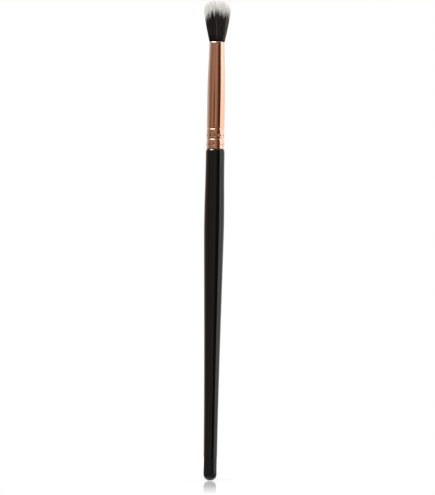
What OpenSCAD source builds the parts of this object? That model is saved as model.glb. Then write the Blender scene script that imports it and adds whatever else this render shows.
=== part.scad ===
// Round blending brush for eyeshadow, standing on the slim end of its handle with the bristles up.
// The origin is the lowest point of the handle, on the brush's axis. All lengths are in millimetres.

/* [Handle] */
// Length from the round end to the shoulder that carries the ferrule
handle_len = 127.5; // [115:0.5:150]
// Diameter of the slim end, where its rounding starts
tail_d = 5.2; // [4:0.02:6.5]
// Height of the rounding at the slim end
tail_round_h = 3.1; // [2:0.1:6]
// Diameter at the widest place
belly_d = 7.76; // [7.4:0.02:9]
// Height of the widest place above the slim end
belly_h = 98; // [80:1:105]
// Height of the neck under the ferrule
neck_h = 1.1; // [0.6:0.1:3]
// How far the neck stands proud of the ferrule
neck_proud = 0.02; // [0:0.01:0.1]
// How far the handle stands proud of its neck
neck_step = 0.07; // [0:0.01:0.2]
// Rounding of the shoulder's edge
shoulder_round = 0.2; // [0.05:0.05:0.25]
// Length of the tang inside the ferrule
tang_len = 13; // [10:0.5:18]
// Chamfer at the top of the tang
tang_chamfer = 0.5; // [0.1:0.1:1]

/* [Ferrule] */
// Length of the metal tube
ferrule_len = 41.4; // [34:0.2:50]
// Outer diameter of its lower, straight length
ferrule_low_d = 7.08; // [6.6:0.02:8]
// Outer diameter at its mouth
ferrule_top_d = 6.06; // [5.6:0.02:7.2]
// Length of the straight part, from the lower edge to where the tube starts to narrow
straight_len = 19; // [18:0.5:24]
// Thickness of its wall
ferrule_wall = 0.3; // [0.2:0.05:0.5]
// Outer radius of the rolled mouth
lip_round = 0.28; // [0.1:0.02:0.3]
// How far the mouth closes in on the bristles
lip_in = 0.08; // [0:0.02:0.2]
// Rounding of the lower edge
foot_round = 0.12; // [0.04:0.02:0.2]

/* [Crimps] */
// Number of pressed rings
crimp_rows = 2; // [1:1:2]
// Height of the lowest ring above the ferrule's lower edge
crimp_h = 4.1; // [3.6:0.1:5]
// Distance from ring to ring
crimp_pitch = 3.95; // [3.5:0.05:4.5]
// Depth of a ring
crimp_depth = 0.16; // [0.05:0.01:0.25]
// Radius of the jaw's edge that presses a ring
crimp_edge_r = 0.45; // [0.3:0.05:0.7]
// Number of dents in the row under each ring
dent_count = 12; // [6:1:14]
// Distance from a ring down to its dents
dent_drop = 2.5; // [2:0.1:2.8]
// Depth of a dent
dent_depth = 0.1; // [0.04:0.01:0.16]
// Radius of the jaw's nose that presses a dent
dent_nose_r = 1.6; // [0.8:0.1:2.4]
// Angle of the lowest row's first dent, in degrees
dent_start = 19; // [0:1:30]
// Angle between one row of dents and the next, in degrees
dent_turn = 8; // [0:1:15]

/* [Bristles] */
// Length of bristle that shows above the mouth
bristle_out = 16.1; // [12:0.1:20]
// Diameter of the head at its widest
head_d = 10.1; // [7:0.1:13]
// Height of the widest place above the mouth
head_h = 11.3; // [8.5:0.1:11.8]
// Rings of bristles round the centre, which give 3 * rings * (rings + 1) bristles
strand_rings = 10; // [10:1:11]
// Clearance between the bristles and the mouth
lip_gap = 0.04; // [0.02:0.01:0.1]
// Longest difference between one tip and the domed outline
tip_scatter = 0.3; // [0:0.05:0.6]

/* [Bonded root] */
// Distance from the mouth down to the top of the bonded root
root_depth = 6; // [4:0.5:9]
// Length of the bonded root
root_len = 5; // [4.5:0.5:7]
// Glue film between the root and the ferrule, at the root's top
root_film = 0.09; // [0.05:0.01:0.2]
// Thickness of the glue plug under the root
plug_h = 2.5; // [1.5:0.1:4]
// Depth of the hollow in the plug's lower face
plug_hollow = 0.8; // [0.3:0.1:1.2]
// Glue film between the tang and the ferrule
tang_film = 0.06; // [0.03:0.01:0.15]
// Thickness of the thread that binds the root
thread_d = 0.3; // [0.2:0.05:0.4]
// Gap between one turn of thread and the next
thread_gap = 0.45; // [0.41:0.01:0.6]
// Turns of thread round the root
thread_turns = 3; // [2:1:3]

/* [Hidden] */
$fn = 96;
overrun = 1;

// Heights where one piece ends and the next begins
foot_z = handle_len;
mouth_z = foot_z + ferrule_len;
lip_z = mouth_z - lip_round;
tang_z = foot_z + tang_len;
root_top_z = mouth_z - root_depth;
root_low_z = root_top_z - root_len;
plug_z = root_low_z - plug_h;

// Share of the tube's narrowing that is done at height z. It starts and ends gently, and narrow_lag
// above 1 leaves more of it to the upper end.
narrow_lag = 1.25;
function narrowed(z) =
    let (t = pow(max(0, min(1, (z - foot_z - straight_len) / (ferrule_len - straight_len))), narrow_lag))
    t * t * (3 - 2 * t);

// Outer radius of the plain tube at height z
function tube_r(z) = ferrule_low_d / 2 - (ferrule_low_d - ferrule_top_d) / 2 * narrowed(z);

// Inner radius of the tube at height z
function bore_r(z) = tube_r(z) - ferrule_wall;

mouth_r = bore_r(mouth_z) - lip_in;

// Outline of the tube's wall at a depth under its outside, from height z0 up to z1
narrow_steps = 12;
least_step = 0.05;
function wall_line(depth, z0, z1) =
    let (
        narrow_z = foot_z + straight_len,
        bends = [for (i = [0:narrow_steps]) narrow_z + (mouth_z - narrow_z) * i / narrow_steps],
        heights = concat([z0], [for (z = bends) if (z > z0 + least_step && z < z1 - least_step) z], [z1])
    )
    [for (z = heights) [tube_r(z) - depth, z]];

// The handle is turned to one outline: a half ellipse, two smooth curves that meet at the belly,
// a small neck and a rounded shoulder. The curves' handles are shares of the height that each spans.
tail_r = tail_d / 2;
belly_r = belly_d / 2;
neck_r = ferrule_low_d / 2 + neck_proud;
collar_r = neck_r + neck_step;
collar_z = foot_z - neck_h;
tail_pull_share = 0.36;
belly_low_share = 0.08;
belly_high_share = 0.5;
collar_pull_share = 0.58;
tail_steps = 14;
low_curve_steps = 24;
high_curve_steps = 14;
shoulder_steps = 6;

function curve_point(a, b, c, d, t) =
    pow(1 - t, 3) * a + 3 * t * pow(1 - t, 2) * b + 3 * t * t * (1 - t) * c + pow(t, 3) * d;

// Upright at both ends, from radius r0 at height z0 to radius r1 at height z1
function turned_curve(r0, z0, r1, z1, pull0, pull1, steps) =
    let (span = z1 - z0)
    [for (i = [1:steps])
        curve_point([r0, z0], [r0, z0 + pull0 * span], [r1, z1 - pull1 * span], [r1, z1], i / steps)];

handle_outline = concat(
    [[0, 0]],
    [for (i = [1:tail_steps])
        let (a = 90 * i / tail_steps)
        [tail_r * sin(a), tail_round_h * (1 - cos(a))]],
    turned_curve(tail_r, tail_round_h, belly_r, belly_h,
                 tail_pull_share, belly_low_share, low_curve_steps),
    turned_curve(belly_r, belly_h, collar_r, collar_z,
                 belly_high_share, collar_pull_share, high_curve_steps),
    [for (i = [0:shoulder_steps])
        let (a = 90 * i / shoulder_steps)
        [neck_r - shoulder_round * (1 - cos(a)), foot_z - shoulder_round * (1 - sin(a))]],
    [[0, foot_z]]
);

// What the crimping jaws press in: a ring and a row of dents for each pair of jaws. A layer that lies
// deeper in the joint takes the same jaws grown by its depth, so wall, glue and wood stay nested.
module jaws(depth) {
    for (row = [0:crimp_rows - 1]) {
        ring_z = foot_z + crimp_h + row * crimp_pitch;
        dent_z = ring_z - dent_drop;
        rotate_extrude()
            translate([tube_r(ring_z) - crimp_depth + crimp_edge_r, ring_z])
                circle(r = crimp_edge_r + depth);
        for (i = [0:dent_count - 1])
            rotate([0, 0, dent_start + row * dent_turn + i * 360 / dent_count])
                translate([tube_r(dent_z) - dent_depth + dent_nose_r, 0, dent_z])
                    sphere(r = dent_nose_r + depth);
    }
}

// A length of the crimped tube's form, from z0 to z1, drawn in by depth
module crimped_form(depth, z0, z1) {
    difference() {
        rotate_extrude()
            polygon(concat([[0, z0]], wall_line(depth, z0, z1), [[0, z1]]));
        jaws(depth);
    }
}

module tang() {
    depth = ferrule_wall + tang_film;
    intersection() {
        crimped_form(depth, foot_z - overrun, tang_z);
        rotate_extrude()
            polygon([
                [0, foot_z - overrun],
                [tube_r(foot_z), foot_z - overrun],
                [tube_r(foot_z), tang_z - tang_chamfer - ferrule_low_d / 2 + tube_r(tang_z) - depth],
                [tube_r(tang_z) - depth - tang_chamfer, tang_z],
                [0, tang_z]
            ]);
    }
}

// Turned wood under black lacquer, with a tang that the ferrule is crimped to
module handle() {
    color("#1b1a1b") {
        rotate_extrude() polygon(handle_outline);
        tang();
    }
}

// Outline of the tube's outside, with its rounded lower edge and rolled mouth
module tube_outline() {
    foot_r = tube_r(foot_z) - foot_round;
    lip_r = tube_r(lip_z) - lip_round;
    translate([foot_r, foot_z + foot_round]) circle(r = foot_round);
    translate([lip_r, lip_z]) circle(r = lip_round);
    polygon(concat(
        [[0, foot_z], [foot_r, foot_z], [foot_r, foot_z + foot_round]],
        wall_line(0, foot_z + foot_round, lip_z),
        [[lip_r, lip_z], [lip_r, mouth_z], [0, mouth_z]]));
}

// Outline of the mouth, where the wall turns in on the bristles
module mouth_outline() {
    polygon([
        [0, lip_z], [bore_r(lip_z), lip_z],
        [mouth_r, mouth_z], [mouth_r, mouth_z + overrun], [0, mouth_z + overrun]
    ]);
}

// Thin drawn tube, plated rose gold, tapered, rolled in at the mouth and crimped to the tang
module ferrule() {
    color("#b98068")
        difference() {
            rotate_extrude() tube_outline();
            jaws(0);
            crimped_form(ferrule_wall, foot_z - overrun, lip_z);
            rotate_extrude() mouth_outline();
        }
}

// The bristles grow from a round lattice on top of the bonded root, where ring k has 6 * k places.
// Each grows from a triangle with its base on the outer ring, and the triangles between stay flat.
// From the mouth up they stand evenly in circles that spread with height, each inside a circle of its
// own that touches no other, so they can turn and none can cross.
root_r = bore_r(root_top_z) - root_film;
root_sides = 6 * strand_rings;
head_r = head_d / 2;
dome_h = bristle_out - head_h;
spread_low_r = mouth_r - lip_gap;
// A triangle's centre lies a third of a ring inside its base
centre_share = 1 / 3;
spread_high_r = head_r * strand_rings / (strand_rings - centre_share);
// Height of the bristles' middle sections, as a share of the height up to the widest place
bend_share = 0.45;
// How steeply the bristles leave the mouth: 1 is straight to the widest place, more bulges
spread_bulge_share = 1.3;
// How much of its room a bristle's section takes
strand_share = 0.62;
// Length of the points that the bristles end in, and by how much that differs
point_h = 3;
point_scatter = 0.5;
// Fullness of the dome: 2 is an ellipse, more is squarer
dome_power = 2.2;
// How far a place on the root, a bristle and its tip stray, as shares of a ring's width
root_stray_share = 0.1;
strand_stray_share = 0.05;
tip_stray_share = 0.2;
// Furthest that a bristle is turned about itself, at its middle and at its point, in degrees
bend_twist = 25;
point_twist = 45;
golden_angle = 137.5;
// Bristles round the very centre, which keep the head's full height
crown_strands = 6;

function stray(n, share) = share / strand_rings * [cos(golden_angle * n), sin(golden_angle * n)];

// A number from -1 to 1 that seems random from one bristle to the next
function uneven(n) = sin(golden_angle * n * n);

// Number of the place i on ring k
function place(k, i) = k == 0 ? 0 : 1 + 3 * k * (k - 1) + i % (6 * k);

lattice = concat([[0, 0]], [
    for (k = [1:strand_rings], i = [0:6 * k - 1])
        k / strand_rings * [cos(60 * i / k), sin(60 * i / k)]
            + stray(place(k, i), k < strand_rings ? root_stray_share : 0)
]);

// Each bristle's ring, its sixth of the ring, and its number there
strands = [for (k = [1:strand_rings], sector = [0:5], j = [0:k - 1]) [k, sector, j]];

// The places that a bristle's foot stands on, anticlockwise from above
function strand_foot(s) =
    let (outer = s[1] * s[0] + s[2], inner = s[1] * (s[0] - 1) + s[2])
    [place(s[0], outer), place(s[0], outer + 1), place(s[0] - 1, inner)];

root_faces = [
    for (k = [2:strand_rings], sector = [0:5], j = [0:k - 2])
        [
            place(k - 1, sector * (k - 1) + j), place(k - 1, sector * (k - 1) + j + 1),
            place(k, sector * k + j + 1)
        ]
];

// A bristle's even place in its circle, and the room that it has there beside its neighbours
function strand_centre(s) =
    let (a = 60 * (s[1] + (s[2] + 1 / 2) / s[0]))
    (s[0] - centre_share) / strand_rings * [cos(a), sin(a)];
function strand_room(s) = 2 * (s[0] - centre_share) * sin(30 / s[0]);

function raised(p, z) = [p[0], p[1], z];

// Height of the domed outline at a share of the head's radius
function dome_z(share) =
    mouth_z + head_h + dome_h * pow(max(0, 1 - pow(share, dome_power)), 1 / dome_power);

// Radius of the whole bundle at height z
function spread_r(z) =
    let (t = min(1, (z - mouth_z) / head_h))
    spread_low_r + (spread_high_r - spread_low_r) * t * (spread_bulge_share + (1 - spread_bulge_share) * t);

// A bristle's section at height z: three arms about its centre, turned by twist
function section(centre, arms, twist, z) = [
    for (arm = arms)
        raised(spread_r(z) * (centre + [arm[0] * cos(twist) - arm[1] * sin(twist),
                                        arm[0] * sin(twist) + arm[1] * cos(twist)]), z)
];

// Sections of a bristle above its foot: at the mouth, at its middle and where its point starts
sections = 3;

// Points of bristle n, section by section, and its tip
function strand_points(n) =
    let (
        foot = [for (v = strand_foot(strands[n])) lattice[v]],
        foot_centre = (foot[0] + foot[1] + foot[2]) / 3,
        room = strand_share * strand_room(strands[n]),
        arms = [for (corner = foot) room * (corner - foot_centre)],
        centre = strand_centre(strands[n]) + stray(n, strand_stray_share),
        end = spread_high_r * (strand_centre(strands[n]) + stray(n, tip_stray_share)),
        full_z = dome_z(min(1, norm(end) / head_r)),
        tip_z = n < crown_strands ? full_z : full_z - tip_scatter * (1 + uneven(n)) / 2,
        point_z = tip_z - point_h - point_scatter * uneven(n + 1)
    )
    concat(
        section(centre, arms, 0, mouth_z),
        section(centre, arms, bend_twist * uneven(n + 2), mouth_z + bend_share * head_h),
        section(centre, arms, point_twist * uneven(n + 2), point_z),
        [raised(end, tip_z)]
    );

// Side faces between a lower triangle and an upper one, both given anticlockwise from above
function sleeve(low, high) = [
    for (i = [0:len(low) - 1])
        let (j = (i + 1) % len(low))
        each [[low[i], high[i], high[j]], [low[i], high[j], low[j]]]
];

function strand_faces(n) =
    let (
        first = len(lattice) + n * (3 * sections + 1),
        rings = concat(
            [strand_foot(strands[n])],
            [for (k = [0:sections - 1]) [for (i = [0:2]) first + 3 * k + i]]),
        tip = first + 3 * sections
    )
    concat(
        [for (k = [0:sections - 1]) each sleeve(rings[k], rings[k + 1])],
        [for (i = [0:2]) [rings[sections][i], tip, rings[sections][(i + 1) % 3]]]
    );

// The thread lies in a waist that it pulls into the root
thread_pitch = thread_d + thread_gap;
thread_sides = 6;
thread_steps = 24;
thread_fit = 0.03;
waist_r = root_r - thread_d - thread_fit;
waist_h = thread_turns * thread_pitch + thread_d + 2 * thread_fit;
waist_low_z = root_low_z + (root_len - waist_h) / 2;
waist_slope_h = thread_d / 2;
waist_high_z = waist_low_z + waist_h;
root_wall = [
    [root_r, root_low_z], [root_r, waist_low_z - waist_slope_h], [waist_r, waist_low_z],
    [waist_r, waist_high_z], [root_r, waist_high_z + waist_slope_h]
];

// Synthetic bristles, dark with white tips, in one piece with their bonded root
module bristle_tuft() {
    count = len(strands);
    wall_first = len(lattice) + count * (3 * sections + 1);
    base = wall_first + len(root_wall) * root_sides;
    rim = [for (i = [0:root_sides - 1]) place(strand_rings, i)];
    wall_rings = concat(
        [for (w = [0:len(root_wall) - 1]) [for (i = [0:root_sides - 1]) wall_first + w * root_sides + i]],
        [rim]);
    points = concat(
        [for (p = lattice) raised(root_r * p, root_top_z)],
        [for (n = [0:count - 1]) each strand_points(n)],
        [for (w = root_wall, i = rim) raised(w[0] * lattice[i], w[1])],
        [[0, 0, root_low_z]]);
    faces = concat(
        root_faces,
        [for (n = [0:count - 1]) each strand_faces(n)],
        [for (w = [0:len(root_wall) - 1]) each sleeve(wall_rings[w], wall_rings[w + 1])],
        [for (i = [0:root_sides - 1])
            [wall_rings[0][i], wall_rings[0][(i + 1) % root_sides], base]]);
    echo(bristles = count, triangles = len(faces));
    color("#2b2624") polyhedron(points, faces);
}

// Binding thread, one unbroken turn after another, swept along a helix as a tube of thread_sides sides
module binding_thread() {
    steps = thread_turns * thread_steps;
    coil_r = root_r - thread_d / 2;
    coil_z = waist_low_z + (waist_h - thread_turns * thread_pitch) / 2;
    rise = atan(thread_pitch / (2 * PI * coil_r));
    points = concat(
        [for (s = [0:steps], i = [0:thread_sides - 1])
            let (
                turn = 360 * s / thread_steps,
                a = 360 * i / thread_sides,
                out = thread_d / 2 * cos(a),
                up = thread_d / 2 * sin(a)
            )
            [
                (coil_r + out) * cos(turn) + up * sin(rise) * sin(turn),
                (coil_r + out) * sin(turn) - up * sin(rise) * cos(turn),
                coil_z + thread_pitch * s / thread_steps + up * cos(rise)
            ]]);
    rings = [for (s = [0:steps]) [for (i = [0:thread_sides - 1]) s * thread_sides + i]];
    faces = concat(
        [for (s = [0:steps - 1]) each sleeve(rings[s], rings[s + 1])],
        [for (i = [1:thread_sides - 2]) [rings[0][0], rings[0][i], rings[0][i + 1]]],
        [for (i = [1:thread_sides - 2]) [rings[steps][0], rings[steps][i + 1], rings[steps][i]]]);
    echo(gap_between_turns = thread_pitch * cos(rise) - thread_d);
    color("#8f8a80") polyhedron(points, faces);
}

// Glue poured behind the root: a plug with a hollow lower face, and a film up round the root
module root_glue() {
    hollow_rim_r = bore_r(plug_z);
    hollow_r = (pow(hollow_rim_r, 2) + pow(plug_hollow, 2)) / (2 * plug_hollow);
    color("#c9b48a")
        difference() {
            rotate_extrude()
                polygon(concat(
                    [[0, plug_z]],
                    wall_line(ferrule_wall, plug_z, root_top_z),
                    [[root_r, root_top_z], [root_r, root_low_z], [0, root_low_z]]));
            translate([0, 0, plug_z + plug_hollow - hollow_r]) sphere(r = hollow_r);
        }
}

// Glue film between the tang and the ferrule, pressed to the crimps' shape
module tang_glue() {
    color("#c9b48a")
        difference() {
            crimped_form(ferrule_wall, foot_z, tang_z);
            crimped_form(ferrule_wall + tang_film, foot_z - overrun, tang_z + overrun);
        }
}

handle();
ferrule();
bristle_tuft();
binding_thread();
root_glue();
tang_glue();
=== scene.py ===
import math

import bpy
from mathutils import Matrix, Vector


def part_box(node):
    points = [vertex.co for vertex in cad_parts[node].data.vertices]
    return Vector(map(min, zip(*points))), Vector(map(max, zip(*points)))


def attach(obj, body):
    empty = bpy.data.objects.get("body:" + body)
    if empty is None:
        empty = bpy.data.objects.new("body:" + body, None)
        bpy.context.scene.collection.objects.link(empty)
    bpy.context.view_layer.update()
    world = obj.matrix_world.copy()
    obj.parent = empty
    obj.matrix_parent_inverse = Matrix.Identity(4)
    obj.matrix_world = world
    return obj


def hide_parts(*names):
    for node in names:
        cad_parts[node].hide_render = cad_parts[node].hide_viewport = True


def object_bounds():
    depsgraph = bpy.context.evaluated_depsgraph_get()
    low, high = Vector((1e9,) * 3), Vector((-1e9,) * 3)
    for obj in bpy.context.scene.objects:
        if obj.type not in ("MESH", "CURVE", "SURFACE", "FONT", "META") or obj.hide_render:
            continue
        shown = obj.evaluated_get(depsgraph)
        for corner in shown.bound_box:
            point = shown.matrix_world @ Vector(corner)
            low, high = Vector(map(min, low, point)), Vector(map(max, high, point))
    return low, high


# A round blending brush for eyeshadow, standing on the slim end of its black lacquered handle, with a
# crimped rose-gold ferrule and a domed head of dark bristles with white tips. Lengths are in metres.
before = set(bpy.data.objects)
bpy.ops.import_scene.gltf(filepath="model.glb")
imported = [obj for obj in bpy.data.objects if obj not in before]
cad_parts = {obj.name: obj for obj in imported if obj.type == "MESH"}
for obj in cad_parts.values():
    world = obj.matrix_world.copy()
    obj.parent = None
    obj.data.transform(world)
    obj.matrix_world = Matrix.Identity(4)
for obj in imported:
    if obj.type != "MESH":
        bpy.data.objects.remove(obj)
cad_low, cad_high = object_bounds()
mm = 0.001

# Camera, level with the middle of the picture. The brush leans just under one degree in the photograph,
# so the camera is rolled by that lean. Its distance sets how strongly the floor mirrors the handle.
picture_w, picture_h = 435, 495
foot_px = Vector((209.9, 480.4))
crown_px = Vector((217.7, -0.6))
sensor = 36.0
camera_distance = 0.62
nearest_seen, farthest_seen = 0.01, 10
brush_px = foot_px - crown_px
pixel = (cad_high.z - cad_low.z) / brush_px.length
lean = math.atan2(-brush_px.x, brush_px.y)
off_middle = Vector((picture_w / 2 - foot_px.x, foot_px.y - picture_h / 2)) * pixel
camera_right = Vector((math.cos(lean), 0, math.sin(lean)))
camera_up = Vector((-math.sin(lean), 0, math.cos(lean)))
camera_back = Vector((0, -1, 0))
camera_place = camera_right * off_middle.x + camera_up * off_middle.y + camera_back * camera_distance

camera_data = bpy.data.cameras.new("camera")
camera = bpy.data.objects.new("camera", camera_data)
bpy.context.collection.objects.link(camera)
bpy.context.scene.camera = camera
camera_data.sensor_width = sensor
camera_data.lens = sensor * camera_distance / (picture_h * pixel)
camera_data.clip_start, camera_data.clip_end = nearest_seen, farthest_seen
turned = Matrix((camera_right, camera_up, camera_back)).transposed()
camera.matrix_world = Matrix.Translation(camera_place) @ turned.to_4x4()
bpy.context.scene.view_settings.view_transform = "Standard"


# Room. A white backdrop stands behind the brush and a bright panel to its right. The side that the
# camera is on is dim, with a dark gap beside the panel, and a soft light hangs overhead.
def add_node(tree, kind, settings=None, inputs=None):
    """Adds a node, sets its options, and fills or links its inputs by name or by number."""
    node = tree.nodes.new(kind)
    for name, value in (settings or {}).items():
        setattr(node, name, value)
    for name, value in (inputs or {}).items():
        if isinstance(name, str):
            socket = next(s for s in node.inputs if s.name == name and s.enabled)
        else:
            socket = node.inputs[name]
        if isinstance(value, bpy.types.NodeSocket):
            tree.links.new(value, socket)
        else:
            socket.default_value = value
    return node


def result(node, name=None):
    """The node's output of that name, or its first output in use."""
    return next(s for s in node.outputs if s.enabled and name in (None, s.name))


def calculate(tree, operation, *values):
    return result(add_node(tree, "ShaderNodeMath", {"operation": operation}, dict(enumerate(values))))


def parts(tree, vector):
    """The X, Y and Z of a vector, by their names."""
    return add_node(tree, "ShaderNodeSeparateXYZ", None, {0: vector}).outputs


def blend_colours(tree, factor, first, second):
    inputs = {"Factor": factor, "A": first, "B": second}
    return result(add_node(tree, "ShaderNodeMix", {"data_type": "RGBA"}, inputs))


def fade(tree, value, start, end, low=0.0, high=1.0):
    """A smooth step from low to high while the value goes from start to end."""
    ends = {"Value": value, "From Min": start, "From Max": end, "To Min": low, "To Max": high}
    return result(add_node(tree, "ShaderNodeMapRange", {"interpolation_type": "SMOOTHSTEP"}, ends))


def ramp(tree, value, stops):
    node = add_node(tree, "ShaderNodeValToRGB", None, {"Fac": value})
    points = node.color_ramp.elements
    while len(points) < len(stops):
        points.new(1.0)
    for point, (place, colour) in zip(points, stops):
        point.position = place
        point.color = (*colour, 1)
    return result(node, "Color")


# What stands round the brush, by its angle to the right of the camera's side
round_the_brush = [
    (-180, (1.15, 1.15, 1.15)),
    (-150, (1.05, 1.05, 1.05)),
    (-138, (0.70, 0.58, 0.50)),
    (-110, (0.64, 0.50, 0.42)),
    (-101, (0.46, 0.36, 0.30)),
    (-96, (0.35, 0.29, 0.24)),
    (-66, (0.32, 0.26, 0.22)),
    (-57, (0.32, 0.26, 0.22)),
    (-46, (0.42, 0.40, 0.38)),
    (-36, (0.35, 0.33, 0.31)),
    (-24, (0.34, 0.32, 0.30)),
    (-14, (0.37, 0.35, 0.33)),
    (-4, (0.46, 0.44, 0.42)),
    (4, (0.42, 0.40, 0.38)),
    (16, (0.27, 0.25, 0.23)),
    (24, (0.16, 0.13, 0.11)),
    (31, (0.06, 0.045, 0.035)),
    (52, (0.045, 0.03, 0.022)),
    (58, (0.12, 0.10, 0.09)),
    (62.5, (1.95, 1.93, 1.92)),
    (80, (1.75, 1.75, 1.74)),
    (105, (1.10, 1.10, 1.10)),
    (125, (0.88, 0.88, 0.88)),
    (150, (1.05, 1.05, 1.05)),
    (180, (1.15, 1.15, 1.15)),
]
overhead_light = (1.25, 1.25, 1.24, 1)
table_light = (0.16, 0.15, 0.14, 1)
overhead_start, overhead_end = math.sin(math.radians(38)), math.sin(math.radians(64))
table_start, table_end = -math.sin(math.radians(12)), -math.sin(math.radians(35))

room = bpy.data.worlds.new("room")
room.use_nodes = True
bpy.context.scene.world = room
tree = room.node_tree
tree.nodes.clear()
towards = parts(tree, result(add_node(tree, "ShaderNodeTexCoord"), "Generated"))
angle = calculate(tree, "ARCTAN2", towards["X"], calculate(tree, "MULTIPLY", towards["Y"], -1.0))
turn = calculate(tree, "ADD", calculate(tree, "DIVIDE", angle, 2 * math.pi), 0.5)
sides = ramp(tree, turn, [(0.5 + degrees / 360, colour) for degrees, colour in round_the_brush])
above = fade(tree, towards["Z"], overhead_start, overhead_end)
below = fade(tree, towards["Z"], table_start, table_end)
lit = blend_colours(tree, below, blend_colours(tree, above, sides, overhead_light), table_light)
seen = result(add_node(tree, "ShaderNodeLightPath"), "Is Camera Ray")
light = add_node(tree, "ShaderNodeBackground", None, {"Color": lit, "Strength": 1.0})
white = add_node(tree, "ShaderNodeBackground", None, {"Color": (1, 1, 1, 1), "Strength": 1.0})
choice = add_node(tree, "ShaderNodeMixShader", None, {0: seen, 1: result(light), 2: result(white)})
add_node(tree, "ShaderNodeOutputWorld", None, {"Surface": result(choice)})


# Floor, a glossy white sheet that mirrors the foot of the brush. To the camera it glows white, less near the
# foot, so the mirror image fades with distance from the foot, and a thin bright line parts it from the
# handle, as if from the sheet's lower face. To reflections alone it also glows close round the foot and
# behind the brush and to
# its right. This is painted light: it brightens the foot's rim and paints a reflection on the handle's lower
# part.
def even_fade(tree, value, start, end, low, high):
    """A straight change from low to high while the value goes from start to end."""
    ends = {"Value": value, "From Min": start, "From Max": end, "To Min": low, "To Max": high}
    return result(add_node(tree, "ShaderNodeMapRange", None, ends))


floor_r = 0.07
floor_corners = 96
floor_gap = 0.12 * mm
sheet_grey = 0.20
lift_under, lift_far, lift_above = 0.30, 0.88, 0.78
lift_start, lift_end = 10 * mm, 38 * mm
low_look, high_look = 0.84, 0.70
glow_start, glow_end = 1 * mm, 6 * mm
behind_start, behind_end, behind_lift = 10 * mm, 48 * mm, 0.45
right_lead = 1.2

floor_mesh = bpy.data.meshes.new("floor")
turns = [2 * math.pi * i / floor_corners for i in range(floor_corners)]
rim = [(floor_r * math.cos(a), floor_r * math.sin(a), -floor_gap) for a in turns]
floor_mesh.from_pydata(rim, [], [list(range(floor_corners))])
floor = bpy.data.objects.new("floor", floor_mesh)
bpy.context.collection.objects.link(floor)

sheet = bpy.data.materials.new("white_sheet")
sheet.use_nodes = True
tree = sheet.node_tree
tree.nodes.clear()
place = result(add_node(tree, "ShaderNodeTexCoord"), "Object")
from_foot = result(add_node(tree, "ShaderNodeVectorMath", {"operation": "LENGTH"}, {0: place}), "Value")
along_sheet = even_fade(tree, from_foot, lift_start, lift_end, lift_under, lift_far)
edge_on = result(add_node(tree, "ShaderNodeLayerWeight"), "Facing")
from_above = fade(tree, edge_on, low_look, high_look, 0.0, lift_above)
lift = calculate(tree, "MAXIMUM", along_sheet, from_above)
under_foot = fade(tree, from_foot, glow_end, glow_start)
spot = parts(tree, place)
to_right = calculate(tree, "MULTIPLY", calculate(tree, "MAXIMUM", spot["X"], 0.0), right_lead)
away = calculate(tree, "ADD", spot["Y"], to_right)
behind = fade(tree, away, behind_start, behind_end, 0.0, behind_lift)
rays = add_node(tree, "ShaderNodeLightPath").outputs
# Glow seen only in reflections: painted light on the foot's rim and a painted reflection on the handle's
# lower part
painted_reflection_glow = calculate(tree, "MULTIPLY", rays["Is Glossy Ray"], calculate(tree, "MAXIMUM", under_foot, behind))
seen = calculate(tree, "MULTIPLY", rays["Is Camera Ray"], lift)
gloss = add_node(tree, "ShaderNodeBsdfPrincipled", None, {
    "Base Color": (sheet_grey, sheet_grey, sheet_grey, 1), "Roughness": 0.05, "IOR": 1.5,
})
glow = add_node(tree, "ShaderNodeEmission", None, {
    "Color": (1, 1, 1, 1), "Strength": calculate(tree, "ADD", seen, painted_reflection_glow),
})
both = add_node(tree, "ShaderNodeAddShader", None, {0: result(gloss), 1: result(glow)})
add_node(tree, "ShaderNodeOutputMaterial", None, {"Surface": result(both)})
floor_mesh.materials.append(sheet)


# Lamps, four soft oval boxes. The key and the fill light the brush and are kept out of reflections. A dim
# panel up at the left glints in the pressed rings, and a bright long lamp above it glints in the
# ferrule's rim and the shoulder.
def soft_box(name, aim_z, azimuth, elevation, distance, width, height, radiance):
    """An oval lamp aimed at a height on the brush, turned to the right of the camera's side and up."""
    lamp = bpy.data.lights.new(name, "AREA")
    lamp.shape = "ELLIPSE"
    lamp.size, lamp.size_y = width, height
    lamp.energy = radiance * math.pi * math.pi / 4 * width * height
    box = bpy.data.objects.new(name, lamp)
    bpy.context.collection.objects.link(box)
    side, up = math.radians(azimuth), math.radians(elevation)
    towards = Vector((math.sin(side) * math.cos(up), -math.cos(side) * math.cos(up), math.sin(up)))
    box.location = Vector((0, 0, aim_z)) + towards * distance
    box.rotation_euler = towards.to_track_quat("Z", "Y").to_euler()
    box.visible_camera = False
    return box


key = soft_box("key", aim_z=0.14, azimuth=-45, elevation=45, distance=0.55,
               width=0.40, height=0.10, radiance=25.0)
key.visible_glossy = False
panel = soft_box("panel", aim_z=0.14, azimuth=-49, elevation=40, distance=0.55,
                 width=0.56, height=0.20, radiance=3.4)
panel.visible_diffuse = False
lamp_tube = soft_box("lamp_tube", aim_z=0.14, azimuth=-62, elevation=56, distance=0.54,
                     width=0.46, height=0.12, radiance=38.0)
lamp_tube.visible_diffuse = False
fill = soft_box("fill", aim_z=0.16, azimuth=3, elevation=32, distance=0.70,
                width=0.56, height=0.30, radiance=7.7)
fill.visible_glossy = False

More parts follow.
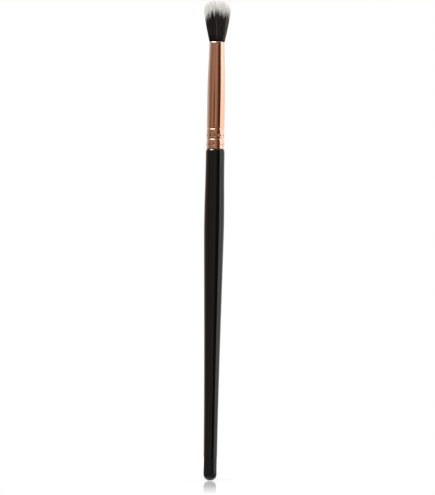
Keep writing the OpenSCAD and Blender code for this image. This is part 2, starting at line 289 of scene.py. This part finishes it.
# Handle, turned from one rod of hardwood and dipped in black lacquer. A bare tang goes up into the
# ferrule, where glue and the crimps hold it, so the tube's and the crimps' sizes stand here.
ferrule_low, ferrule_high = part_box("ferrule")
handle_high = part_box("handle")[1]
foot_z, mouth_z, tang_z = ferrule_low.z, ferrule_high.z, handle_high.z
low_r = ferrule_high.x
top_r = 3.03 * mm
straight_len = 19 * mm
narrow_lag = 1.25
wall = 0.3 * mm
ring_rows = 2
ring_h = 3.72 * mm
ring_pitch = 3.95 * mm
ring_depth = 0.15 * mm
ring_half = 0.37 * mm
ring_blend = 0.07 * mm
jaw_count = 12
dent_drop = [2.1 * mm, 2.65 * mm]
dent_depth = 0.12 * mm
dent_half = 0.50 * mm
first_dent = math.radians(19)
dent_turn = math.radians(8)
edge_soft = 0.2
ripple_depth = 0.007 * mm
ripple_end = 0.5 * mm

# Each ripple's strength, waves round the tube and their start, waves upwards and their start, and twist
ripples = [(1.0, 7, 0.9, 2600, 0.4, 0), (0.7, 13, 2.2, 4100, 1.7, 2)]


def tube_r(z):
    """Outer radius of the plain tube, straight at first and then narrowed towards its mouth."""
    share = (z - foot_z - straight_len) / (mouth_z - foot_z - straight_len)
    t = max(0.0, share) ** narrow_lag
    return low_r - (low_r - top_r) * t * t * (3 - 2 * t)


def clamped(value):
    return min(1.0, max(0.0, value))


def above_ring(row, z):
    return z - foot_z - ring_h - row * ring_pitch


def run_out(depth):
    """A depth that runs out softly to 0 instead of going below it."""
    return (depth + math.hypot(depth, edge_soft)) / 2


def in_dent(angle, z):
    """How deep in a jaw's dent this angle and height is, from 0 outside to about 1 at its middle."""
    jaw = 2 * math.pi / jaw_count
    depth = 0.0
    for row in range(ring_rows):
        place = (angle - first_dent - row * dent_turn) / jaw
        across = (place - math.floor(place + 0.5)) * jaw * low_r
        down = above_ring(row, z) + dent_drop[row]
        depth += run_out(1 - (across ** 2 + down ** 2) / dent_half ** 2)
    return depth


def pressed(angle, z):
    """How far the crimping jaws have pressed the tube in at this angle and height."""
    depth = dent_depth * in_dent(angle, z)
    for row in range(ring_rows):
        off_centre = math.hypot(above_ring(row, z), ring_blend) - ring_blend
        depth += ring_depth * run_out(1 - off_centre / ring_half)
    up = z - foot_z
    ripple = 0.0
    for strength, waves, start, rise, first, twist in ripples:
        ripple += strength * math.sin(waves * angle + start) * math.sin(up * rise + first + twist * angle)
    calm = clamped((ring_h + ring_pitch + ring_half - up) / ripple_end)
    return depth + ripple_depth * ripple * calm * clamped(up / ripple_end)


def curve_point(ends, t):
    a, b, c, d = ends
    return (1 - t) ** 3 * a + 3 * t * (1 - t) ** 2 * b + 3 * t * t * (1 - t) * c + t ** 3 * d


def turned_curve(low, high, low_share, high_share, steps):
    """Points of an outline that is upright at both ends, without the lower one."""
    span = high[1] - low[1]
    ends = [Vector(low), Vector((low[0], low[1] + low_share * span)),
            Vector((high[0], high[1] - high_share * span)), Vector(high)]
    return [tuple(curve_point(ends, i / steps)) for i in range(1, steps + 1)]


def turned_mesh(name, outline, around, sink=None, closed=False):
    """Turns an outline of (radius, height) round the brush's axis, drawn in by sink(angle, height)."""
    points, rings = [], []
    for radius, z in outline:
        if radius == 0:
            rings.append([len(points)] * around)
            points.append((0, 0, z))
            continue
        rings.append(list(range(len(points), len(points) + around)))
        for i in range(around):
            a = 2 * math.pi * i / around
            r = radius - (sink(a, z) if sink else 0)
            points.append((r * math.cos(a), r * math.sin(a), z))
    faces = []
    pairs = list(zip(rings, rings[1:])) + ([(rings[-1], rings[0])] if closed else [])
    for low, high in pairs:
        for i in range(around):
            j = (i + 1) % around
            corners = [low[i], low[j], high[j], high[i]]
            faces.append([c for k, c in enumerate(corners) if c != corners[k - 1]])
    mesh = bpy.data.meshes.new(name)
    mesh.from_pydata(points, [], faces)
    mesh.polygons.foreach_set("use_smooth", [True] * len(mesh.polygons))
    mesh.set_sharp_from_angle(angle=math.radians(50))
    piece = bpy.data.objects.new(name, mesh)
    bpy.context.collection.objects.link(piece)
    return piece


tail_r = 2.6 * mm
tail_round_h = 3.1 * mm
tail_steps = 24
tail_blunt = 2 / 2.4
widest = (handle_high.x, 98 * mm)
join_z = foot_z - 0.14 * mm
neck_h = 1.1 * mm
neck_r = low_r + 0.02 * mm
collar_r = neck_r + 0.07 * mm
bevel_h = 0.50 * mm
bevel_in = bevel_h * math.tan(math.radians(31))
bevel_start, bevel_end = 0.08 * mm, 0.02 * mm
bevel_rows = (0.04, 0.12, 0.5, 0.88, 0.96)
tang_film = 0.06 * mm
tang_chamfer = 0.5 * mm
tang_steps = 130

tail = [(tail_r * math.sin(a) ** tail_blunt, tail_round_h * (1 - math.cos(a) ** tail_blunt))
        for a in (math.radians(90 * i / tail_steps) for i in range(tail_steps))]
tail.append((tail_r, tail_round_h))
slim_part = turned_curve(tail[-1], widest, low_share=0.36, high_share=0.08, steps=60)
full_part = turned_curve(widest, (collar_r, join_z - neck_h), low_share=0.5, high_share=0.58, steps=40)
shoulder = [(neck_r, join_z - bevel_h - bevel_start)]
shoulder += [(neck_r - bevel_in * t, join_z - bevel_h * (1 - t)) for t in bevel_rows]
shoulder.append((neck_r - bevel_in - bevel_end, join_z))
tang_inset = wall + tang_film
tang_heights = [join_z + (tang_z - tang_chamfer - join_z) * i / tang_steps for i in range(tang_steps + 1)]
tang = [(tube_r(z) - tang_inset, z) for z in tang_heights]
tang += [(tube_r(tang_z) - tang_inset - tang_chamfer, tang_z), (0, tang_z)]


def on_tang(angle, z):
    return pressed(angle, z) if foot_z < z < tang_z - tang_chamfer else 0


handle_outline = tail + slim_part + full_part + shoulder + tang
handle = turned_mesh("turned_handle", handle_outline, around=144, sink=on_tang)


# The lacquer is very smooth, with faint polishing marks, a little dust and the slight waves of dipping
def new_material(name):
    """A material with its node tree, its shader and the place on the piece."""
    material = bpy.data.materials.new(name)
    material.use_nodes = True
    tree = material.node_tree
    place = result(add_node(tree, "ShaderNodeTexCoord"), "Object")
    return material, tree, tree.nodes["Principled BSDF"], place


def feed(tree, shader, inputs):
    for name, value in inputs.items():
        tree.links.new(value, shader.inputs[name])


def mottle(tree, place, scale, detail):
    inputs = {"Vector": place, "Scale": scale, "Detail": detail}
    return result(add_node(tree, "ShaderNodeTexNoise", None, inputs))


def cells(tree, place, scale):
    return add_node(tree, "ShaderNodeTexVoronoi", None, {"Vector": place, "Scale": scale})


def relief(tree, strength, depth, height, under=None):
    """The normal of a slight relief, which may lie on one that is given as under."""
    inputs = {"Strength": strength, "Distance": depth, "Height": height}
    if under is not None:
        inputs["Normal"] = under
    return result(add_node(tree, "ShaderNodeBump", None, inputs))


def fine_marks():
    """Shader group: fine marks drawn along Z, and the sparse specks among them."""
    group = bpy.data.node_groups.new("fine_marks", "ShaderNodeTree")
    group.interface.new_socket(name="Vector", in_out="INPUT", socket_type="NodeSocketVector")
    for name in ["Marks per Metre", "Stretch", "Speck Size"]:
        group.interface.new_socket(name=name, in_out="INPUT", socket_type="NodeSocketFloat")
    for name in ["Marks", "Specks"]:
        group.interface.new_socket(name=name, in_out="OUTPUT", socket_type="NodeSocketFloat")
    given = add_node(group, "NodeGroupInput").outputs
    per_metre = given["Marks per Metre"]
    drawn = add_node(group, "ShaderNodeCombineXYZ", None, {
        "X": per_metre, "Y": per_metre, "Z": calculate(group, "MULTIPLY", per_metre, given["Stretch"]),
    })
    placed = add_node(group, "ShaderNodeVectorMath", {"operation": "MULTIPLY"},
                      {0: given["Vector"], 1: result(drawn)})
    noise = add_node(group, "ShaderNodeTexNoise", None,
                     {"Vector": result(placed), "Scale": 1.0, "Detail": 3.0, "Roughness": 0.6})
    grit = cells(group, given["Vector"], calculate(group, "DIVIDE", 1.0, given["Speck Size"]))
    near = fade(group, result(grit, "Distance"), 0.10, 0.02)
    pick = add_node(group, "ShaderNodeSeparateColor", None, {0: result(grit, "Color")})
    chosen = fade(group, result(pick), 0.90, 0.92)
    specks = calculate(group, "MULTIPLY", near, chosen)
    add_node(group, "NodeGroupOutput", None, {"Marks": result(noise), "Specks": specks})
    return group


marks_group = fine_marks()


def marked(tree, place, per_metre, stretch, speck_size):
    inputs = {"Vector": place, "Marks per Metre": per_metre, "Stretch": stretch, "Speck Size": speck_size}
    return add_node(tree, "ShaderNodeGroup", {"node_tree": marks_group}, inputs).outputs


black, dust = (0.0022, 0.0021, 0.0022, 1), (0.03, 0.029, 0.028, 1)
plain_rough, smear_rough, mark_rough = 0.03, 0.03, 0.05

lacquer, tree, shader, place = new_material("black_lacquer")
marks = marked(tree, place, per_metre=5200.0, stretch=0.05, speck_size=0.0016)
smear = fade(tree, mottle(tree, place, scale=110.0, detail=2.0), 0.35, 0.75)
rough = calculate(tree, "ADD", calculate(tree, "MULTIPLY", smear, smear_rough),
                  calculate(tree, "MULTIPLY", marks["Marks"], mark_rough))
dip = mottle(tree, place, scale=260.0, detail=1.0)
feed(tree, shader, {
    "Base Color": blend_colours(tree, marks["Specks"], black, dust),
    "Roughness": calculate(tree, "ADD", rough, plain_rough),
    "Normal": relief(tree, strength=0.10, depth=0.02 * mm, height=dip),
})
shader.inputs["IOR"].default_value = 1.41
handle.data.materials.append(lacquer)
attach(handle, "root")
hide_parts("handle")

# Ferrule, a thin drawn brass tube, tapered, rolled in at the mouth and plated rose gold. Jaws have
# pressed two rings and two rows of dents through it into the tang.
lip_round = 0.28 * mm
lip_in = 0.08 * mm
lip_steps = 10
foot_round = 0.12 * mm
foot_steps = 6
crimp_top = foot_z + ring_h + ring_pitch + 4 * ring_half
crimp_step = 0.08 * mm
plain_steps = 24
rim_z = mouth_z - 0.40 * mm
lip_z = rim_z - lip_round
mouth_r = top_r - wall - lip_in
mouth_bevel = 0.02 * mm

lower_edge = [(low_r - foot_round * (1 - math.cos(a)), join_z + foot_round * (1 - math.sin(a)))
              for a in (math.radians(90 - 90 * i / foot_steps) for i in range(foot_steps + 1))]
crimp_rows = int((crimp_top - join_z - foot_round) / crimp_step)
crimped = [join_z + foot_round + crimp_step * (i + 1) for i in range(crimp_rows)]
plain = [crimp_top + (lip_z - crimp_top) * i / plain_steps for i in range(1, plain_steps + 1)]
outside = [(tube_r(z), z) for z in crimped + plain]
rolled = [(tube_r(lip_z) - lip_round * (1 - math.cos(a)), lip_z + lip_round * math.sin(a))
          for a in (math.radians(90 * i / lip_steps) for i in range(1, lip_steps + 1))]
inside = [(tube_r(z) - wall, z) for z in reversed(crimped + plain)]
tube = lower_edge + outside + rolled + [(mouth_r, rim_z - mouth_bevel)] + inside
tube.append((low_r - wall, join_z))
ferrule = turned_mesh("rose_gold_ferrule", tube, around=192, sink=pressed, closed=True)

# Painted shade darkens the dents' floors, and dark lines run along the tube, each at its angle and strength
dark_lines = [(-10.5, 1.0), (-31, 0.35), (48, 0.4), (86, 0.7),
               (131, 0.9), (170, 0.5), (-150, 0.8), (-98, 0.6)]
line_half = 0.21 * mm
line_low, line_high = crimp_top - 1.2 * mm, crimp_top + 21 * mm
line_start, line_end = 0.4 * mm, 12 * mm
dent_shade = 1.1


def line_and_dent_shade_at(point):
    angle = math.atan2(point.y, point.x)
    up = clamped((point.z - line_low) / line_start) * clamped((line_high - point.z) / line_end)
    amount = 0.0
    for degrees, strength in dark_lines:
        off = math.remainder(angle + math.pi / 2 - math.radians(degrees), 2 * math.pi) * low_r
        amount = max(amount, strength * up * math.exp(-(off / line_half) ** 2))
    # The dents' floors get painted shade, strongest at their middles
    return max(amount, min(1.0, dent_shade * in_dent(angle, point.z) ** 2))


dark_line_and_dent_shade_values = ferrule.data.attributes.new("dark_line_and_dent_shade", "FLOAT", "POINT")
dark_line_and_dent_shade_values.data.foreach_set("value", [line_and_dent_shade_at(vertex.co) for vertex in ferrule.data.vertices])


def painted(tree, name):
    """The value that the mesh carries under this name."""
    return result(add_node(tree, "ShaderNodeAttribute", {"attribute_name": name}), "Fac")


gold, deep = (0.83, 0.37, 0.22, 1), (0.72, 0.29, 0.16, 1)
dull_tint, painted_sheen_gold = (0.58, 0.40, 0.31, 1), (0.83, 0.68, 0.57, 1)
line_and_shade_brown = (0.10, 0.020, 0.006, 1)
deep_share, band_share, jaw_share, line_and_shade_share = 0.6, 0.45, 0.55, 0.95
band_low, band_high, band_ragged = rim_z - 2.2 * mm, rim_z - 1.4 * mm, 1.2 * mm
jaw_low, jaw_high = crimp_top - 1.2 * mm, crimp_top - 0.2 * mm
sheen_start, sheen_end = 0.13, 0.50
plain_rough, streak_rough, band_rough, jaw_rough, lip_rough = 0.09, 0.05, 0.04, 0.10, 0.20
lip_frost = 0.15 * mm

plate, tree, shader, place = new_material("rose_gold")
height = parts(tree, place)["Z"]
drawn = marked(tree, place, per_metre=2600.0, stretch=0.012, speck_size=0.0009)["Marks"]
broad = marked(tree, place, per_metre=700.0, stretch=0.012, speck_size=0.004)["Marks"]
streak = fade(tree, drawn, 0.3, 0.7)
stain = fade(tree, broad, 0.4, 0.72)
ragged = calculate(tree, "MULTIPLY", mottle(tree, place, scale=900.0, detail=3.0), band_ragged)
# Below the rim a band with a ragged lower edge turns duller, greyer and rougher
band = fade(tree, calculate(tree, "ADD", height, ragged), band_low, band_high)
crushed = mottle(tree, place, scale=1100.0, detail=2.0)
jaw_marks = calculate(tree, "MULTIPLY", fade(tree, height, jaw_high, jaw_low),
                      fade(tree, crushed, 0.48, 0.60))
edge_on = result(add_node(tree, "ShaderNodeLayerWeight"), "Facing")
dark_line_and_dent_shade = painted(tree, "dark_line_and_dent_shade")
colour = gold
for mask, share, tint in [(stain, deep_share, deep), (band, band_share, dull_tint), (jaw_marks, jaw_share, dull_tint)]:
    colour = blend_colours(tree, calculate(tree, "MULTIPLY", mask, share), colour, tint)
# Painted sheen: the plating turns paler where the surface is seen edge-on
colour = blend_colours(tree, fade(tree, edge_on, sheen_start, sheen_end), colour, painted_sheen_gold)
colour = blend_colours(tree, calculate(tree, "MULTIPLY", dark_line_and_dent_shade, line_and_shade_share), colour, line_and_shade_brown)
rough = plain_rough
for mask, share in [(streak, streak_rough), (band, band_rough), (jaw_marks, jaw_rough)]:
    rough = calculate(tree, "ADD", calculate(tree, "MULTIPLY", mask, share), rough)
rough = calculate(tree, "ADD", rough, fade(tree, height, lip_z, lip_z + lip_frost, 0.0, lip_rough))
lines = relief(tree, strength=0.25, depth=0.006 * mm, height=drawn)
feed(tree, shader, {
    "Base Color": colour,
    "Roughness": rough,
    "Coat Weight": calculate(tree, "SUBTRACT", 1.0, dark_line_and_dent_shade),
    "Normal": relief(tree, strength=0.30, depth=0.02 * mm, height=broad, under=lines),
})
shader.inputs["Metallic"].default_value = 1.0
shader.inputs["Coat Roughness"].default_value = 0.06
ferrule.data.materials.append(plate)
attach(ferrule, "root")
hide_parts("ferrule")

# Bristles, several thousand fine synthetic filaments, near black and bleached white at their tapered
# tips. They are cupped to a dome, bonded at their lower ends and pushed through the ferrule.
root_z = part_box("root_glue")[1].z
crown_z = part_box("bristle_tuft")[1].z
head_h = 11.3 * mm
head_r = 5.05 * mm
shift_most = 0.012
gather_share = 0.52
bow_share = 0.5
uneven_most, tuft_uneven = 0.35 * mm, 0.25 * mm
dome_power = 2.5
bulge = 1.2
side_drop, right_rise = 1.5 * mm, 0.6 * mm
fade_drop, fade_least, fade_most, tuft_fade = 1.65 * mm, -0.8 * mm, 0.9 * mm, 2.8 * mm

bundle = bpy.data.node_groups.new("bristle_bundle", "GeometryNodeTree")
bundle.is_modifier = True
bundle.interface.new_socket(name="Root", in_out="INPUT", socket_type="NodeSocketGeometry")
sizes = {}
for kind, names in [
    ("Int", ["Count", "Seed", "Steps"]),
    ("Float", ["Root Height", "Mouth Height", "Mouth Radius", "Lip Height", "Lip Radius", "Widest Height",
               "Widest Radius", "Crown Height", "Filament Radius", "Tuft Share", "Stray", "Fade Height"]),
    ("Material", ["Material"]),
]:
    for name in names:
        socket = bundle.interface.new_socket(name=name, in_out="INPUT", socket_type="NodeSocket" + kind)
        sizes[name] = socket.identifier
bundle.interface.new_socket(name="Bristles", in_out="OUTPUT", socket_type="NodeSocketGeometry")
given = add_node(bundle, "NodeGroupInput").outputs


def vector(operation, *values):
    node = add_node(bundle, "ShaderNodeVectorMath", {"operation": operation}, dict(enumerate(values)))
    return result(node)


def scaled(value, factor):
    inputs = {"Vector": value, "Scale": factor}
    return result(add_node(bundle, "ShaderNodeVectorMath", {"operation": "SCALE"}, inputs))


def sum_of(*values):
    total = values[0]
    for value in values[1:]:
        total = calculate(bundle, "ADD", total, value)
    return total


def minus(value, other):
    return calculate(bundle, "SUBTRACT", value, other)


def times(*values):
    total = values[0]
    for value in values[1:]:
        total = calculate(bundle, "MULTIPLY", total, value)
    return total


def chance(offset, low, high):
    """A random value between low and high for each bristle, a vector where they are vectors."""
    kind = "FLOAT_VECTOR" if isinstance(low, tuple) else "FLOAT"
    inputs = {"Min": low, "Max": high, "Seed": sum_of(given["Seed"], float(offset))}
    return result(add_node(bundle, "FunctionNodeRandomValue", {"data_type": kind}, inputs))


def chance_across(offset, most):
    return chance(offset, (-most, -most, 0.0), (most, most, 0.0))


def shaped(kind, inputs):
    """The geometry that comes out of a geometry node."""
    return result(add_node(bundle, "GeometryNode" + kind, None, inputs))


def stored(name, kind):
    node = add_node(bundle, "GeometryNodeInputNamedAttribute", {"data_type": kind}, {"Name": name})
    return result(node, "Attribute")


# The bristles stand in a golden spiral over a disk of radius 1
golden_turn = math.pi * (3 - math.sqrt(5))
index = result(add_node(bundle, "GeometryNodeInputIndex"))
from_centre = calculate(bundle, "SQRT", calculate(bundle, "DIVIDE", sum_of(index, 0.5), given["Count"]))
turn = times(index, golden_turn)
spot = result(add_node(bundle, "ShaderNodeCombineXYZ", None, {
    "X": times(from_centre, calculate(bundle, "COSINE", turn)),
    "Y": times(from_centre, calculate(bundle, "SINE", turn)),
}))
disk = vector("ADD", spot, chance_across(1, shift_most))
outward = add_node(bundle, "ShaderNodeVectorMath", {"operation": "LENGTH"}, {0: disk})
away = calculate(bundle, "MINIMUM", result(outward, "Value"), 1.0)

# Tips gather in small tufts, and each tuft has its own length and its own place for the colour change
tuft = cells(bundle, disk, calculate(bundle, "DIVIDE", 1.0, given["Tuft Share"]))
tuft_chance = parts(bundle, result(tuft, "Color"))
gather = scaled(vector("SUBTRACT", result(tuft, "Position"), disk), gather_share)
splay = scaled(chance_across(2, 1.0), given["Stray"])
tip_shift = vector("ADD", scaled(gather, given["Widest Radius"]), splay)
bow = scaled(chance_across(3, 1.0), times(given["Stray"], bow_share))
rest = calculate(bundle, "MAXIMUM", minus(1.0, calculate(bundle, "POWER", away, dome_power)), 0.0)
dome = times(minus(given["Crown Height"], given["Widest Height"]),
             calculate(bundle, "POWER", rest, 1 / dome_power))
uneven = sum_of(chance(4, -uneven_most, 0.0), times(tuft_chance["Y"], -tuft_uneven))
tip_z = sum_of(given["Widest Height"], dome, uneven)

# The colour changes higher at the front and back of the head than at its sides
sideways = parts(bundle, disk)["X"]
side_fall = times(calculate(bundle, "ABSOLUTE", sideways), -side_drop)
fade_z = sum_of(given["Fade Height"], side_fall, times(sideways, right_rise),
                chance(5, fade_least, fade_most), times(tuft_chance["X"], tuft_fade), -fade_drop)
# Painted light: bristles towards the right, where the bright panel stands, get lighter, browner shades
lit_right_side = even_fade(bundle, sideways, 0.50, 0.95, 0.0, 1.0)

strands = shaped("Points", {"Count": given["Count"], "Position": spot})
for name, kind, value in [
    ("disk", "FLOAT_VECTOR", disk),
    ("tip_shift", "FLOAT_VECTOR", tip_shift),
    ("bow", "FLOAT_VECTOR", bow),
    ("tip_z", "FLOAT", tip_z),
    ("fade_z", "FLOAT", fade_z),
    ("tone", "FLOAT", chance(6, 0.0, 1.0)),
    ("tuft_tone_and_lit_side", "FLOAT", sum_of(tuft_chance["Z"], lit_right_side)),
]:
    inputs = {"Geometry": strands, "Name": name, "Value": value}
    strands = result(add_node(bundle, "GeometryNodeStoreNamedAttribute", {"data_type": kind}, inputs))
line = shaped("CurvePrimitiveLine", {"End": (0, 0, 1)})
line = shaped("ResampleCurve", {"Curve": line, "Count": sum_of(given["Steps"], 3.0)})
strands = shaped("InstanceOnPoints", {"Points": strands, "Instance": line})
strands = shaped("RealizeInstances", {"Geometry": strands})

# The first step goes up to the mouth, the second out over the lip and the others evenly up to the tip
along = result(add_node(bundle, "GeometryNodeSplineParameter"), "Factor")
step = times(along, sum_of(given["Steps"], 2.0))
in_tube = calculate(bundle, "MINIMUM", step, 1.0)
past_mouth = calculate(bundle, "MAXIMUM", minus(step, 1.0), 0.0)
over_lip = calculate(bundle, "MINIMUM", past_mouth, 1.0)
out = calculate(bundle, "DIVIDE", minus(past_mouth, over_lip), given["Steps"])
lip_top = sum_of(given["Mouth Height"], given["Lip Height"])
z = sum_of(given["Root Height"],
           times(in_tube, minus(given["Mouth Height"], given["Root Height"])),
           times(over_lip, given["Lip Height"]),
           times(out, minus(stored("tip_z", "FLOAT"), lip_top)))
rise = calculate(bundle, "DIVIDE", minus(z, lip_top), minus(given["Widest Height"], lip_top))
rise = calculate(bundle, "MINIMUM", calculate(bundle, "MAXIMUM", rise, 0.0), 1.0)
spread = times(rise, sum_of(bulge, times(rise, 1 - bulge)))
reach = sum_of(given["Mouth Radius"],
               times(over_lip, minus(given["Lip Radius"], given["Mouth Radius"])),
               times(spread, minus(given["Widest Radius"], given["Lip Radius"])))
bent = times(out, minus(1.0, out), 4.0)
drift = vector("ADD", scaled(stored("tip_shift", "FLOAT_VECTOR"), times(out, out)),
               scaled(stored("bow", "FLOAT_VECTOR"), bent))
flat = vector("ADD", scaled(stored("disk", "FLOAT_VECTOR"), reach), drift)
point = vector("ADD", flat, result(add_node(bundle, "ShaderNodeCombineXYZ", None, {"Z": z})))
strands = shaped("SetPosition", {"Geometry": strands, "Position": point})
taper = even_fade(bundle, out, 0.62, 1.0, 1.0, 0.3)
swell = even_fade(bundle, out, 0.0, 0.3, 0.8, 1.0)
section = shaped("CurvePrimitiveCircle", {"Resolution": 3, "Radius": 1.0})
hairs = shaped("CurveToMesh", {"Curve": strands, "Profile Curve": section, "Fill Caps": True,
                               "Scale": times(given["Filament Radius"], taper, swell)})
for name in ["disk", "tip_shift", "bow", "tip_z"]:
    hairs = shaped("RemoveAttribute", {"Geometry": hairs, "Name": name})
hairs = shaped("SetShadeSmooth", {"Geometry": hairs})
hairs = shaped("RealizeInstances", {"Geometry": hairs})
hairs = shaped("SetMaterial", {"Geometry": hairs, "Material": given["Material"]})
joined = add_node(bundle, "GeometryNodeJoinGeometry")
bundle.links.new(hairs, joined.inputs[0])
bundle.links.new(given["Root"], joined.inputs[0])
add_node(bundle, "NodeGroupOutput", None, {"Bristles": result(joined)})

# Each bristle fades from near black to white over a short length, and no two are quite the same shade
change_start, change_end = -0.5 * mm, 0.7 * mm
shade_start, shade_end = rim_z + 0.2 * mm, rim_z + 1.2 * mm
painted_shade_black = (0.0015, 0.0012, 0.0012, 1)
dark_shades = [(0.15, (0.006, 0.005, 0.005)), (0.6, (0.013, 0.010, 0.009)),
               (0.88, (0.045, 0.030, 0.025)), (1.0, (0.17, 0.13, 0.11))]
pale_shades = [(0.1, (0.65, 0.625, 0.59)), (0.45, (0.91, 0.90, 0.88)), (0.8, (0.97, 0.965, 0.95))]
tone_share, tuft_tone_share = 0.35, 0.65
dark_rough, bleach_rough = 0.34, 0.2

fibre, tree, shader, place = new_material("two_tone_bristle")
height = parts(tree, place)["Z"]
above_change = calculate(tree, "SUBTRACT", height, painted(tree, "fade_z"))
bleached = fade(tree, above_change, change_start, change_end)
# The shade is random for each bristle and each tuft, with painted light added on the right side
shade = calculate(tree, "ADD", calculate(tree, "MULTIPLY", painted(tree, "tone"), tone_share),
                  calculate(tree, "MULTIPLY", painted(tree, "tuft_tone_and_lit_side"), tuft_tone_share))
# Painted shade: the bristles turn near black just above the rim, where they are packed close
dark = blend_colours(tree, fade(tree, height, shade_start, shade_end), painted_shade_black,
                     ramp(tree, shade, dark_shades))
feed(tree, shader, {
    "Base Color": blend_colours(tree, bleached, dark, ramp(tree, shade, pale_shades)),
    "Roughness": calculate(tree, "ADD", dark_rough, calculate(tree, "MULTIPLY", bleached, bleach_rough)),
})

# The lower ends are soaked in resin to one stiff root, with a waist that the thread is tied round
root_r = 2.735 * mm
root_len = 5 * mm
root_edge = 0.15 * mm
waist_r = root_r - 0.33 * mm
waist_low, waist_high = root_z - 3.8 * mm, root_z - 1.2 * mm
waist_slope = 0.2 * mm
bristle_ends = [(0.05, 0.04, 0.035, 1), (0.16, 0.11, 0.05, 1)]
resin_brown = (0.30, 0.20, 0.09, 1)

bonded, tree, shader, place = new_material("bonded_root")
ends = result(cells(tree, place, scale=9000.0), "Distance")
soaked = mottle(tree, place, scale=700.0, detail=3.0)
cut_ends = blend_colours(tree, fade(tree, ends, 0.1, 0.5), *bristle_ends)
feed(tree, shader, {
    "Base Color": blend_colours(tree, fade(tree, soaked, 0.4, 0.6), cut_ends, resin_brown),
    "Roughness": fade(tree, soaked, 0.3, 0.7, 0.45, 0.2),
    "Normal": relief(tree, strength=0.4, depth=0.03 * mm, height=ends),
})

root_outline = [(0, root_z - root_len), (root_r - root_edge, root_z - root_len),
                (root_r, root_z - root_len + root_edge), (root_r, waist_low),
                (waist_r, waist_low + waist_slope), (waist_r, waist_high - waist_slope),
                (root_r, waist_high), (root_r, root_z - root_edge), (root_r - root_edge, root_z), (0, root_z)]
maker = turned_mesh("bristle_maker", root_outline, around=64)
maker.data.materials.append(bonded)
modifier = maker.modifiers.new("bristles", "NODES")
modifier.node_group = bundle
for name, value in {
    "Count": 4300, "Seed": 6, "Steps": 5, "Root Height": root_z - 0.05 * mm,
    "Mouth Height": rim_z, "Mouth Radius": 2.56 * mm, "Lip Height": 0.4 * mm, "Lip Radius": 2.98 * mm,
    "Widest Height": mouth_z + head_h, "Widest Radius": head_r, "Crown Height": crown_z,
    "Filament Radius": 0.042 * mm, "Tuft Share": 0.088, "Stray": 0.16 * mm,
    "Fade Height": mouth_z + 10.7 * mm, "Material": fibre,
}.items():
    modifier[sizes[name]] = value
bpy.context.view_layer.update()
made = bpy.data.meshes.new_from_object(maker.evaluated_get(bpy.context.evaluated_depsgraph_get()))
bpy.data.objects.remove(maker)
made.name = "bristles"
bristles = bpy.data.objects.new("bristles", made)
bpy.context.collection.objects.link(bristles)
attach(bristles, "root")
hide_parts("bristle_tuft")


# Thread, twisted polyester, wound three times round the root's waist before the bundle is pulled into the
# ferrule. It is hidden by the ferrule.
def finish_with(node, material):
    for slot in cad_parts[node].material_slots:
        slot.material = material


yarn_low, yarn_high, yarn_fuzz = (0.24, 0.22, 0.20, 1), (0.42, 0.40, 0.37, 1), (0.55, 0.53, 0.50, 1)

thread, tree, shader, place = new_material("twisted_thread")
plies = result(add_node(tree, "ShaderNodeTexWave", {"bands_direction": "DIAGONAL"},
                        {"Vector": place, "Scale": 1300.0, "Distortion": 1.5, "Detail": 2.0}), "Fac")
fuzz = mottle(tree, place, scale=6000.0, detail=2.0)
yarn = blend_colours(tree, plies, yarn_low, yarn_high)
feed(tree, shader, {
    "Base Color": blend_colours(tree, fade(tree, fuzz, 0.5, 0.8), yarn, yarn_fuzz),
    "Roughness": fade(tree, fuzz, 0.3, 0.7, 0.6, 0.8),
    "Normal": relief(tree, strength=0.6, depth=0.04 * mm, height=plies),
})
finish_with("binding_thread", thread)

# Glue, amber epoxy poured in behind the root and spread on the tang, a little cloudy and with small
# bubbles in it. It is hidden by the ferrule.
amber_dark, amber_pale, bubble_pale = (0.50, 0.36, 0.18, 1), (0.66, 0.53, 0.33, 1), (0.80, 0.72, 0.55, 1)
bubble_share = 0.5

epoxy, tree, shader, place = new_material("amber_epoxy")
cloudy = mottle(tree, place, scale=500.0, detail=3.0)
bubble = fade(tree, result(cells(tree, place, scale=2200.0), "Distance"), 0.22, 0.12)
amber = blend_colours(tree, fade(tree, cloudy, 0.35, 0.7), amber_dark, amber_pale)
feed(tree, shader, {
    "Base Color": blend_colours(tree, calculate(tree, "MULTIPLY", bubble, bubble_share), amber, bubble_pale),
    "Roughness": fade(tree, cloudy, 0.3, 0.8, 0.12, 0.3),
    "Normal": relief(tree, strength=0.3, depth=0.03 * mm, height=bubble),
})
finish_with("root_glue", epoxy)
finish_with("tang_glue", epoxy)
